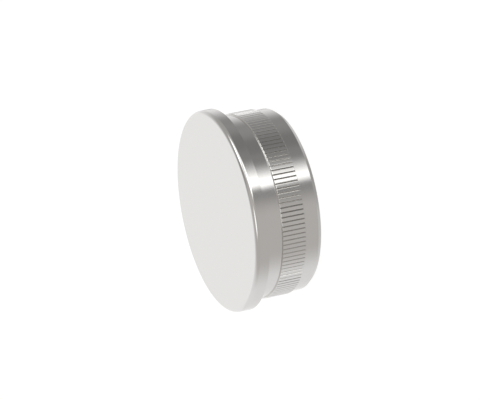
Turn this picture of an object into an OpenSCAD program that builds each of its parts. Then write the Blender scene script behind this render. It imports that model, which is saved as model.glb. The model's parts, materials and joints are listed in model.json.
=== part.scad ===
// Flat end cap that is driven into the open end of a round handrail tube.
// One turned piece: a flat head as wide as the tube, a plug that slides inside it,
// and a raised ring with straight knurling that grips the bore.
// The cap stands on the rim of its plug. Its axis is Z, and the face of the head points up.

/* [Tube] */
// Outside diameter of the tube
tube_od = 48.3; // [30:0.1:90]
// Wall thickness of the tube
tube_wall = 2.0; // [1.2:0.1:3]

/* [Head] */
// Thickness of the head
head_t = 3.3; // [2:0.1:8]
// Radius of the rounding between the face and the side of the head
face_round = 0.95; // [0.2:0.05:1.6]

/* [Plug] */
// Gap between the plug and the bore of the tube, on the diameter
plug_play = 0.6; // [0.1:0.05:1.5]
// Length of the smooth land between the head and the knurled ring
land_l = 4.25; // [1:0.05:12]
// Length of the knurled ring along the axis
knurl_l = 5.85; // [3:0.05:15]
// Length of the smooth pilot behind the knurled ring
pilot_l = 4.3; // [2:0.1:15]
// Length of the lead-in bevel at the end of the pilot
lead_l = 0.95; // [0.2:0.05:1.8]
// Depth of the lead-in bevel, measured on the radius
lead_h = 0.75; // [0.2:0.05:1.5]

/* [Knurl] */
// Amount by which the knurled ring is wider than the bore of the tube, on the diameter
grip = 0.2; // [0.05:0.05:0.4]
// Distance from groove to groove round the ring
groove_pitch = 1.13; // [0.8:0.01:2.5]
// Width of each groove at the crest of the ring
groove_w = 0.35; // [0.2:0.05:0.7]
// Depth of each groove
groove_h = 0.3; // [0.1:0.05:0.7]
// Bevel of the plain rim in front of the grooves
knurl_break = 0.15; // [0.05:0.05:0.4]

/* [Recess] */
// Wall of the plug between its pilot and the recess
plug_wall = 2.6; // [1.8:0.1:5]
// Thickness of solid metal between the face of the head and the floor of the recess
web_t = 4.0; // [2:0.1:10]
// Bevel in the corner between the wall and the floor of the recess
floor_bevel = 1.0; // [0.2:0.1:2]
// Bevel at the mouth of the recess
mouth_break = 0.3; // [0.1:0.05:0.8]

/* [Hidden] */

// Smoothness of the round surfaces, and of the small rounding in their section
$fn = 180;
round_fn = 48;
// Small overlap that keeps cuts clear of the faces they pass through
eps = 0.02;

// Radii, all worked out from the tube
head_r = tube_od / 2;
bore_r = tube_od / 2 - tube_wall;
plug_r = bore_r - plug_play / 2;
crest_r = bore_r + grip / 2;
recess_r = plug_r - plug_wall;

// Heights above the rim that the cap stands on
knurl_z = pilot_l;
land_z = knurl_z + knurl_l;
seat_z = land_z + land_l;
face_z = seat_z + head_t;
floor_z = face_z - web_t;

// Number of grooves round the ring, and the angle from one to the next
groove_n = round(2 * PI * crest_r / groove_pitch);
groove_step = 360 / groove_n;

// Half section of the head, with its rounded front edge
module head_section() {
    translate([0, seat_z])
        square([head_r, head_t - face_round]);
    translate([0, seat_z])
        square([head_r - face_round, head_t]);
    translate([head_r - face_round, face_z - face_round])
        circle(r = face_round, $fn = round_fn);
}

// Half section of the plug, with the lead-in bevel at its end
module plug_section() {
    polygon([
        [0, 0],
        [plug_r - lead_h, 0],
        [plug_r, lead_l],
        [plug_r, seat_z],
        [0, seat_z]
    ]);
}

// Half section of the recess that lightens the plug, bevelled at its mouth and at its floor
module recess_section() {
    polygon([
        [0, -eps],
        [recess_r + mouth_break + eps, -eps],
        [recess_r, mouth_break],
        [recess_r, floor_z - floor_bevel],
        [recess_r - floor_bevel, floor_z],
        [0, floor_z]
    ]);
}

// One groove of the knurling in cross section, a V that is open at the crest
module groove_profile() {
    mouth = groove_w / 2 * (groove_h + eps) / groove_h;
    polygon([
        [crest_r - groove_h, 0],
        [crest_r + eps, -mouth],
        [crest_r + eps, mouth]
    ]);
}

// Raised ring. Straight grooves run from its rear edge up to a narrow bevelled rim, which they leave whole.
module knurled_ring() {
    translate([0, 0, knurl_z])
        linear_extrude(height = knurl_l - knurl_break)
            difference() {
                circle(r = crest_r);
                for (i = [0 : groove_n - 1])
                    rotate(i * groove_step)
                        groove_profile();
            }
    translate([0, 0, land_z - knurl_break])
        cylinder(h = knurl_break, r1 = crest_r, r2 = crest_r - knurl_break);
}

// The whole cap, turned from one bar
module end_cap() {
    color("silver")
        difference() {
            union() {
                rotate_extrude() {
                    head_section();
                    plug_section();
                }
                knurled_ring();
            }
            rotate_extrude()
                recess_section();
        }
}

end_cap();
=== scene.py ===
import json
import math

import bmesh
import bpy
from mathutils import Matrix, Vector


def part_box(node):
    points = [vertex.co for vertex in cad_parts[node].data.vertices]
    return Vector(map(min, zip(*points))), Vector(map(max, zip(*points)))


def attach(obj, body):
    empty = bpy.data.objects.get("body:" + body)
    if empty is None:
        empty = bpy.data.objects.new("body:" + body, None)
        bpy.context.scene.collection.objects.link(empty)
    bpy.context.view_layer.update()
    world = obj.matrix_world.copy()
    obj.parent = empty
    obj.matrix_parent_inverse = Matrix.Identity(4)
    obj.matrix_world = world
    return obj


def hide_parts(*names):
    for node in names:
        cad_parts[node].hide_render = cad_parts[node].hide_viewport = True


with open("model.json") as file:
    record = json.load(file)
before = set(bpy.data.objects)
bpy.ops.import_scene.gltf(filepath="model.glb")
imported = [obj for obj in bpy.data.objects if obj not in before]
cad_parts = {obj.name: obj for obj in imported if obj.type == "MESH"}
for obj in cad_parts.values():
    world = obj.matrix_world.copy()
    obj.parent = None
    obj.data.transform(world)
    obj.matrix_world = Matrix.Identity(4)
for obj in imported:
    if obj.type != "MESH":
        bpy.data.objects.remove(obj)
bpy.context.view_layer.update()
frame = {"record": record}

# The cap is one piece of stainless steel, turned from bar: a flat head as wide as the tube, and behind it a
# plug with a knurled ring that is driven into the bore. Its half section is drawn in millimetres with sharp
# corners, which are then broken and rounded, and is swept through one groove pitch of the knurling.
MM = 0.001
mounts = {mount["name"]: mount for mount in frame["record"]["mounts"]}
head_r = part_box("end_cap")[1].x / MM
face_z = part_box("end_cap")[1].z / MM
face_round = 0.95
seat_z = mounts["tube_seat"]["pos_m"][2] / MM

# The pilot is the smooth end of the plug, from the lead-in bevel up to the knurled ring.
pilot_z = mounts["pilot"]["pos_m"][2] / MM
pilot_l = mounts["pilot"]["dims"]["length_mm"]
plug_r = mounts["pilot"]["dims"]["r_mm"]
lead_l = pilot_z - pilot_l / 2
lead_h = 0.75

# The knurled ring, with the small break at its rear edge and the rounding at its front edge
knurl_z = pilot_z + pilot_l / 2
land_z = 10.15
crest_r = mounts["knurl"]["dims"]["r_mm"]
burr_break = 0.06
rim_round = 0.2
groove_pitch = 1.13
groove_n = round(2 * math.pi * crest_r / groove_pitch)
groove_step = 2 * math.pi / groove_n

# The recess that is bored into the plug from behind
recess_r = 19.25
floor_z = 13.7
floor_bevel = 1.0
mouth_break = 0.3

# A point that lies this far past a rounding holds the straight stretch beside it.
hold = 0.05
# Points and faces are told apart by their place, give or take this much.
slack = 0.05
floor_corner = (recess_r, floor_z)
mouth_corner = (recess_r, 0)
rear_corner = (crest_r, knurl_z)
front_corner = (crest_r, land_z)
face_corner = (head_r, face_z)
half_section = [
    (0, floor_z),
    floor_corner,
    mouth_corner,
    (plug_r - lead_h, 0),
    (plug_r, lead_l),
    (plug_r, knurl_z),
    rear_corner,
    (crest_r, land_z - rim_round - hold),
    front_corner,
    (plug_r, land_z),
    (plug_r, seat_z),
    (head_r, seat_z),
    (head_r, face_z - face_round - hold),
    face_corner,
    (head_r - face_round - hold, face_z),
    (0, face_z),
]

# The section starts half a pitch before the X axis, so that the middle of the swept pitch lies on it.
cap_mesh = bmesh.new()
to_start = Matrix.Rotation(-groove_step / 2, 3, "Z")
corners = {(r, z): cap_mesh.verts.new(to_start @ Vector((r, 0, z))) for r, z in half_section}
for start, end in zip(half_section, half_section[1:]):
    cap_mesh.edges.new((corners[start], corners[end]))


def break_corner(corner, size, steps=1):
    """Takes a corner off the half section: a flat bevel in one step, a rounding in several."""
    bmesh.ops.bevel(
        cap_mesh,
        geom=[corners[corner]],
        affect="VERTICES",
        offset=size,
        segments=steps,
        profile=0.5,
        material=-1,
    )


break_corner(floor_corner, floor_bevel)
break_corner(mouth_corner, mouth_break)
break_corner(rear_corner, burr_break)
break_corner(front_corner, rim_round, steps=5)
break_corner(face_corner, face_round, steps=12)
columns = 10
column_step = groove_step / columns
bmesh.ops.spin(
    cap_mesh,
    geom=cap_mesh.verts[:] + cap_mesh.edges[:],
    cent=(0, 0, 0),
    axis=(0, 0, 1),
    angle=groove_step,
    steps=columns,
)

# The grooves of the straight knurling stop just short of the ring's front edge, which stays whole as a rim.
# In the middle of the swept pitch the ring is pressed in to the bottom of a V groove. The columns beside it
# become its two flanks and the shoulders of the teeth, which the knurling wheel leaves a little rounded.
groove_w = 0.44
groove_h = 0.34
rim_w = 0.1
groove_end = land_z - rim_w
shoulder_round = 0.27
shoulder_lean = math.radians(12)
shoulder_steps = 2
groove = [(0, groove_h)]
for step in range(shoulder_steps, -1, -1):
    lean = shoulder_lean * step / shoulder_steps
    offset = groove_w / 2 - shoulder_round * math.sin(lean)
    depth = shoulder_round * (1 - math.cos(lean))
    groove.append((offset, depth))
groove.append((groove_w / 2 + hold, 0))
for vert in cap_mesh.verts:
    radius = vert.co.xy.length
    column = round(math.atan2(vert.co.y, vert.co.x) / column_step)
    on_ring = radius > crest_r - groove_h and knurl_z - slack < vert.co.z < groove_end
    if on_ring and abs(column) < len(groove):
        offset, depth = groove[abs(column)]
        radius = min(radius, crest_r - depth)
        vert.co.xy = Vector((math.sqrt(radius**2 - offset**2), math.copysign(offset, column)))

# The pitch is repeated round the axis and sewn up to one closed skin. The flanks of the grooves are flat,
# and edges that a turner leaves crisp stay so. The bored recess has a finish of its own.
sewing_gap = 0.001
crisp_angle = math.radians(30)
bmesh.ops.spin(
    cap_mesh,
    geom=cap_mesh.verts[:] + cap_mesh.edges[:] + cap_mesh.faces[:],
    cent=(0, 0, 0),
    axis=(0, 0, 1),
    angle=groove_step * (groove_n - 1),
    steps=groove_n - 1,
    use_duplicate=True,
)
bmesh.ops.remove_doubles(cap_mesh, verts=cap_mesh.verts[:], dist=sewing_gap)
bmesh.ops.recalc_face_normals(cap_mesh, faces=cap_mesh.faces[:])
for face in cap_mesh.faces:
    middle = face.calc_center_median()
    around = Vector((-middle.y, middle.x, 0)).normalized()
    face.smooth = abs(face.normal.dot(around)) < math.sin(crisp_angle)
    widest = max(vert.co.xy.length for vert in face.verts)
    bored = widest < recess_r + mouth_break + slack and middle.z < floor_z + slack
    face.material_index = int(bored)
for edge in cap_mesh.edges:
    edge.smooth = edge.calc_face_angle(0) < crisp_angle
bmesh.ops.scale(cap_mesh, vec=(MM, MM, MM), verts=cap_mesh.verts[:])
cap_data = bpy.data.meshes.new("turned_cap")
cap_mesh.to_mesh(cap_data)
cap_mesh.free()
cap = bpy.data.objects.new("turned_cap", cap_data)
bpy.context.scene.collection.objects.link(cap)


def turned_steel(name, colour, roughness, feed):
    """Stainless steel off the lathe, with fine tool marks that run round the axis, about a feed apart."""
    mark_strength = 0.05
    mark_depth = feed / 10
    clouds_per_m = 90.0
    cloud_detail = 3.0
    polish_spread = 0.1
    tone_spread = 0.01
    material = bpy.data.materials.new(name)
    material.use_nodes = True
    nodes = material.node_tree.nodes
    links = material.node_tree.links
    shader = nodes["Principled BSDF"]
    shader.inputs["Metallic"].default_value = 1.0

    # The tool's travel is the distance from the axis plus the height, so the marks run round the face and
    # the sides alike.
    place = nodes.new("ShaderNodeTexCoord")
    flat = nodes.new("ShaderNodeVectorMath")
    flat.operation = "MULTIPLY"
    flat.inputs[1].default_value = (1, 1, 0)
    links.new(place.outputs["Object"], flat.inputs[0])
    radius = nodes.new("ShaderNodeVectorMath")
    radius.operation = "LENGTH"
    links.new(flat.outputs[0], radius.inputs[0])
    split = nodes.new("ShaderNodeSeparateXYZ")
    links.new(place.outputs["Object"], split.inputs[0])
    travel = nodes.new("ShaderNodeMath")
    travel.operation = "ADD"
    links.new(radius.outputs["Value"], travel.inputs[0])
    links.new(split.outputs["Z"], travel.inputs[1])
    marks = nodes.new("ShaderNodeTexNoise")
    marks.noise_dimensions = "1D"
    marks.inputs["Scale"].default_value = 1 / feed
    links.new(travel.outputs[0], marks.inputs["W"])
    bump = nodes.new("ShaderNodeBump")
    bump.inputs["Strength"].default_value = mark_strength
    bump.inputs["Distance"].default_value = mark_depth
    links.new(marks.outputs["Fac"], bump.inputs["Height"])
    links.new(bump.outputs["Normal"], shader.inputs["Normal"])

    # The polish changes in soft clouds, and the tone from mark to mark.
    cloud = nodes.new("ShaderNodeTexNoise")
    cloud.inputs["Scale"].default_value = clouds_per_m
    cloud.inputs["Detail"].default_value = cloud_detail
    links.new(place.outputs["Object"], cloud.inputs["Vector"])
    polish = nodes.new("ShaderNodeMapRange")
    polish.inputs["To Min"].default_value = roughness * (1 - polish_spread)
    polish.inputs["To Max"].default_value = roughness * (1 + polish_spread)
    links.new(cloud.outputs["Fac"], polish.inputs["Value"])
    links.new(polish.outputs["Result"], shader.inputs["Roughness"])
    tone = nodes.new("ShaderNodeMix")
    tone.data_type = "RGBA"
    tone.inputs["A"].default_value = (*[level * (1 - tone_spread) for level in colour], 1)
    tone.inputs["B"].default_value = (*[level * (1 + tone_spread) for level in colour], 1)
    links.new(marks.outputs["Fac"], tone.inputs["Factor"])
    links.new(tone.outputs["Result"], shader.inputs["Base Color"])
    return material


steel_colour = (0.68, 0.671, 0.655)
outside = turned_steel("fine_turned_stainless", steel_colour, roughness=0.13, feed=0.05 * MM)
inside = turned_steel("bored_stainless", steel_colour, roughness=0.26, feed=0.2 * MM)
cap_data.materials.append(outside)
cap_data.materials.append(inside)
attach(cap, "root")
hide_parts("end_cap")


# The camera. It looks at the cap from above the front, from as far as a product photographer stands, and is
# turned on its side, so that the face of the cap looks to the left of the picture.
def towards(azimuth, elevation):
    """Direction at that many degrees round from the front and above the horizon."""
    round_z = math.radians(azimuth)
    up = math.radians(elevation)
    return Vector((math.sin(round_z) * math.cos(up), -math.cos(round_z) * math.cos(up), math.sin(up)))


image_w = 480
shift_px = (-3.53, 6.59)
aim = Vector((0, 0, 10.455 * MM))
camera_side = towards(-0.46, 20.69)
camera_distance = 0.75
camera_roll = Matrix.Rotation(math.radians(-101.28), 3, "Z").to_quaternion()
camera_data = bpy.data.cameras.new("camera")
camera_data.sensor_width = 36
camera_data.lens = 238.2
camera_data.shift_x = shift_px[0] / image_w
camera_data.shift_y = shift_px[1] / image_w
camera_data.clip_start = 0.05
camera = bpy.data.objects.new("camera", camera_data)
camera.rotation_mode = "QUATERNION"
camera.rotation_quaternion = camera_side.to_track_quat("Z", "Y") @ camera_roll
camera.location = aim + camera_side * camera_distance
bpy.context.scene.collection.objects.link(camera)
bpy.context.scene.camera = camera

# The floor is a pale table top that the camera sees as white, with the soft shadow of the cap on it. It
# stays out of the metal's reflections, because the studio's own grey floor shows there, and it is open to a
# view from below.
floor_reach = 3.0
floor_gap = 0.02 * MM
matt_grey = (0.2, 0.2, 0.2, 1)
glow_strength = 0.9
floor_mesh = bmesh.new()
bmesh.ops.create_grid(floor_mesh, x_segments=1, y_segments=1, size=floor_reach)
bmesh.ops.translate(floor_mesh, verts=floor_mesh.verts[:], vec=(0, 0, -floor_gap))
floor_data = bpy.data.meshes.new("floor")
floor_mesh.to_mesh(floor_data)
floor_mesh.free()
floor = bpy.data.objects.new("floor", floor_data)
bpy.context.scene.collection.objects.link(floor)
floor.visible_glossy = False
pale = bpy.data.materials.new("pale_floor")
pale.use_nodes = True
pale.node_tree.nodes.clear()
nodes = pale.node_tree.nodes
links = pale.node_tree.links
matt = nodes.new("ShaderNodeBsdfDiffuse")
matt.inputs["Color"].default_value = matt_grey
glow = nodes.new("ShaderNodeEmission")
ray = nodes.new("ShaderNodeLightPath")
share = nodes.new("ShaderNodeMath")
share.operation = "MULTIPLY"
share.inputs[1].default_value = glow_strength
links.new(ray.outputs["Is Camera Ray"], share.inputs[0])
links.new(share.outputs[0], glow.inputs["Strength"])
lit = nodes.new("ShaderNodeAddShader")
links.new(matt.outputs[0], lit.inputs[0])
links.new(glow.outputs[0], lit.inputs[1])
side_seen = nodes.new("ShaderNodeNewGeometry")
clear = nodes.new("ShaderNodeBsdfTransparent")
open_below = nodes.new("ShaderNodeMixShader")
links.new(side_seen.outputs["Backfacing"], open_below.inputs[0])
links.new(lit.outputs[0], open_below.inputs[1])
links.new(clear.outputs[0], open_below.inputs[2])
surface = nodes.new("ShaderNodeOutputMaterial")
links.new(open_below.outputs[0], surface.inputs["Surface"])
floor_data.materials.append(pale)

# The studio is a white tent with grey walls on the camera's side, a bright backdrop behind the cap and a
# grey floor with the cap's shadow. A long strip light, dimmer at its joint, leans across the walls, and a
# lamp hangs over them. It is the world and no objects, and the metal shows all of it.
world = bpy.data.worlds.new("studio")
bpy.context.scene.world = world
world.use_nodes = True
world.node_tree.nodes.clear()
nodes = world.node_tree.nodes
links = world.node_tree.links
look = nodes.new("ShaderNodeTexCoord")


def ramp(value, low, high):
    """Factor that rises softly from 0 to 1 as the value goes from low to high."""
    rise = nodes.new("ShaderNodeMapRange")
    rise.interpolation_type = "SMOOTHSTEP"
    rise.inputs["From Min"].default_value = low
    rise.inputs["From Max"].default_value = high
    links.new(value, rise.inputs["Value"])
    return rise.outputs["Result"]


def along(direction):
    """Cosine of the angle between the ray and a direction."""
    dot = nodes.new("ShaderNodeVectorMath")
    dot.operation = "DOT_PRODUCT"
    dot.inputs[1].default_value = direction
    links.new(look.outputs["Generated"], dot.inputs[0])
    return dot.outputs["Value"]


def disc(direction, outer, inner):
    """Factor that is 1 within the inner angle of a direction and 0 past the outer one, in degrees."""
    return ramp(along(direction), math.cos(math.radians(outer)), math.cos(math.radians(inner)))


def tilted(direction, start, full):
    """Factor that goes from 0 to 1 between two angles from the plane square to a direction, in degrees."""
    return ramp(along(direction), math.sin(math.radians(start)), math.sin(math.radians(full)))


def both(first, second):
    """Product of two factors."""
    product = nodes.new("ShaderNodeMath")
    product.operation = "MULTIPLY"
    links.new(first, product.inputs[0])
    links.new(second, product.inputs[1])
    return product.outputs[0]


def layer(under, factor, level):
    """Lays a level of light over what is under it, as far as the factor goes."""
    mix = nodes.new("ShaderNodeMix")
    mix.data_type = "RGBA"
    if isinstance(under, tuple):
        mix.inputs["A"].default_value = (*under, 1)
    else:
        links.new(under, mix.inputs["A"])
    mix.inputs["B"].default_value = (*level, 1)
    links.new(factor, mix.inputs["Factor"])
    return mix.outputs["Result"]


dark_wall = (0.208, 0.205, 0.203)
grey_wall = (0.584, 0.565, 0.55)
side_wall = (0.464, 0.455, 0.445)
white_tent = (0.985, 0.977, 0.983)
grey_floor = (0.682, 0.677, 0.673)
shadow = (0.455, 0.45, 0.445)
dark_corner = (0.245, 0.242, 0.24)
backdrop = (1.083, 1.083, 1.083)
# Painted shade: the backdrop is darker at its foot, low behind the cap.
backdrop_foot_shade = (0.5, 0.5, 0.5)
downwards = towards(0, -90)
light = layer(dark_wall, disc(towards(-65, 26.2), outer=91.6, inner=66), grey_wall)
light = layer(light, disc(towards(104.4, 24.6), outer=49, inner=38), side_wall)
light = layer(light, disc(towards(-157.4, -7.4), outer=89.4, inner=45.3), white_tent)
light = layer(light, disc(downwards, outer=82.2, inner=0.3), grey_floor)
light = layer(light, disc(towards(136, -76), outer=21, inner=1), shadow)
light = layer(light, disc(towards(75, -20), outer=15, inner=3), dark_corner)
light = layer(light, disc(towards(183, 7.1), outer=32.7, inner=24.3), backdrop)
# The foot of the backdrop gets its painted shade.
light = layer(light, disc(towards(173, -31), outer=17, inner=4), backdrop_foot_shade)

# The strip light is a band that runs square to its pole and fades at both edges and both ends. It is dimmer
# at its joint, and in a patch just above it that the face of the cap mirrors to a viewer behind the cap.
strip_level = (4.75, 4.75, 4.75)
joint_level = (1.0, 1.0, 1.0)
upwards = towards(0, 90)
pole = towards(-53.2, 42)
near_middle = towards(45, 15)
strip_middle = (near_middle - pole * pole.dot(near_middle)).normalized()
band = both(tilted(pole, start=-25, full=20), tilted(pole, start=35, full=-7.5))
strip = both(band, disc(strip_middle, outer=47.8, inner=39.8))
on_strip = ramp(strip, 0.1, 0.35)
joint = both(tilted(upwards, start=6, full=11), tilted(upwards, start=28, full=22))
patch = disc(towards(45, 30), outer=10, inner=5)
light = layer(light, strip, strip_level)
light = layer(light, both(on_strip, joint), joint_level)
light = layer(light, both(on_strip, patch), joint_level)

lamp_level = (1.64, 1.64, 1.64)
light = layer(light, disc(towards(-22.2, 36), outer=17.6, inner=8.3), lamp_level)

# Camera and transmission rays see plain white in place of the studio.
studio = nodes.new("ShaderNodeBackground")
links.new(light, studio.inputs["Color"])
plain = nodes.new("ShaderNodeBackground")
plain.inputs["Color"].default_value = (1, 1, 1, 1)
ray = nodes.new("ShaderNodeLightPath")
seen = nodes.new("ShaderNodeMath")
seen.operation = "MAXIMUM"
links.new(ray.outputs["Is Camera Ray"], seen.inputs[0])
links.new(ray.outputs["Is Transmission Ray"], seen.inputs[1])
choice = nodes.new("ShaderNodeMixShader")
links.new(seen.outputs[0], choice.inputs[0])
links.new(studio.outputs[0], choice.inputs[1])
links.new(plain.outputs[0], choice.inputs[2])
sky = nodes.new("ShaderNodeOutputWorld")
links.new(choice.outputs[0], sky.inputs["Surface"])

bpy.context.scene.view_settings.view_transform = "Standard"
